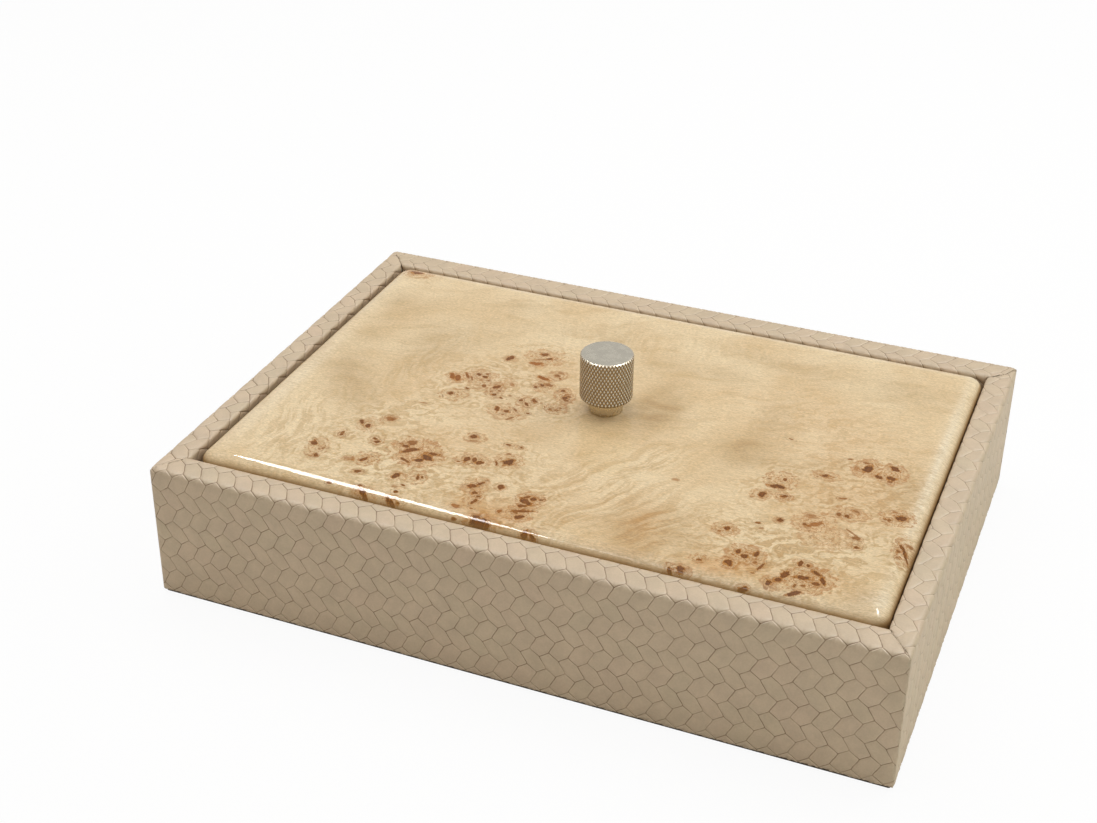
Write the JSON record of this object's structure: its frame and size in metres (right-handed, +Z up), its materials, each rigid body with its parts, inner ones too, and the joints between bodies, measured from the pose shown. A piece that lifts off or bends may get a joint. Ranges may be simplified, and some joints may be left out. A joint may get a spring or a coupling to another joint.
{
  "type": "lidded keepsake box",
  "caption": "Shallow rectangular box covered in plaited embossed leather, with a lift-off lid of glossy burl veneer and a knurled metal knob.",
  "frame": {"origin": "middle of the underside, where the box stands", "axes": "+X along the long side, +Y from front to back, +Z up"},
  "size_m": [0.28, 0.202, 0.0806],
  "materials": {
    "embossed_leather": "matt cream leather embossed with a plait of rounded lozenges",
    "burl_veneer": "pale burl veneer with brown eyes under clear high gloss lacquer",
    "nickel": "satin nickel, turned and diamond knurled",
    "fibreboard": "raw fibreboard",
    "suede_lining": "short napped beige suede cloth",
    "base_felt": "charcoal felt",
    "zinc_steel": "zinc plated steel"
  },
  "bodies": {
    "box": {"front_board": "fibreboard", "right_board": "fibreboard", "back_board": "fibreboard", "left_board": "fibreboard", "front_wrap": "embossed_leather", "right_wrap": "embossed_leather", "back_wrap": "embossed_leather", "left_wrap": "embossed_leather", "front_ledge": "fibreboard", "right_ledge": "fibreboard", "back_ledge": "fibreboard", "left_ledge": "fibreboard", "front_lining": "suede_lining", "right_lining": "suede_lining", "back_lining": "suede_lining", "left_lining": "suede_lining", "base_panel": "fibreboard", "base_felt": "base_felt", "floor_lining": "suede_lining", "front_left_lower_brad": "zinc_steel", "front_left_upper_brad": "zinc_steel", "front_right_lower_brad": "zinc_steel", "front_right_upper_brad": "zinc_steel", "back_left_lower_brad": "zinc_steel", "back_left_upper_brad": "zinc_steel", "back_right_lower_brad": "zinc_steel", "back_right_upper_brad": "zinc_steel"},
    "lid": {"lid_core": "fibreboard", "lid_veneer": "burl_veneer", "lid_sheet": "suede_lining", "knob": "nickel", "knob_screw": "zinc_steel", "knob_washer": "zinc_steel"}
  },
  "joints": [
    {"name": "lid_lift", "type": "slide", "parent": "box", "child": "lid", "axis": [0, 0, 1], "range_m": [0, 0.12]}
  ]
}
